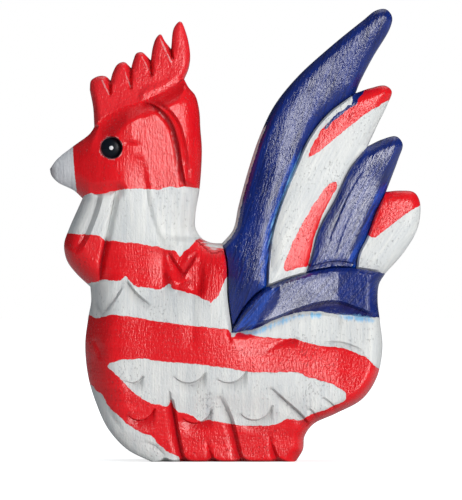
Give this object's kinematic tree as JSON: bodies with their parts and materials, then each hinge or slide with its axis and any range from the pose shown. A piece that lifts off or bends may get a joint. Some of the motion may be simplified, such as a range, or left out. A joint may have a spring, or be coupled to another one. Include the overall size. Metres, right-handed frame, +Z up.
{
  "type": "wooden rooster figurine",
  "caption": "Carved and painted wooden rooster ornament with a flat base, a spiked comb, a hanging wattle lobe and a fanned tail of separate feathers.",
  "frame": {"origin": "middle of the flat base face", "axes": "+Z up, -X towards the beak, +X towards the tail, +Y towards the bird's right cheek"},
  "size_m": [0.0985, 0.0326, 0.1201],
  "materials": {
    "painted_white": "semi-gloss brushed paint, off-white with red bands, over open grain",
    "painted_red": "semi-gloss brushed red paint over open grain",
    "painted_blue": "gloss brushed dark blue paint over open grain",
    "eye_bead": "gloss black bead with a white painted glint",
    "bare_wood": "bare turned hardwood"
  },
  "bodies": {
    "root": {"body": "painted_white", "comb": "painted_red", "wattle": "painted_red", "tail_sickle": "painted_blue", "tail_feather_second": "painted_white", "tail_feather_third": "painted_blue", "tail_feather_rear": "painted_white", "eye_left": "eye_bead", "eye_right": "eye_bead", "comb_dowel_front": "bare_wood", "comb_dowel_rear": "bare_wood", "wattle_dowel": "bare_wood", "sickle_dowel": "bare_wood", "second_dowel": "bare_wood", "third_dowel": "bare_wood", "rear_dowel": "bare_wood"}
  },
  "joints": []
}
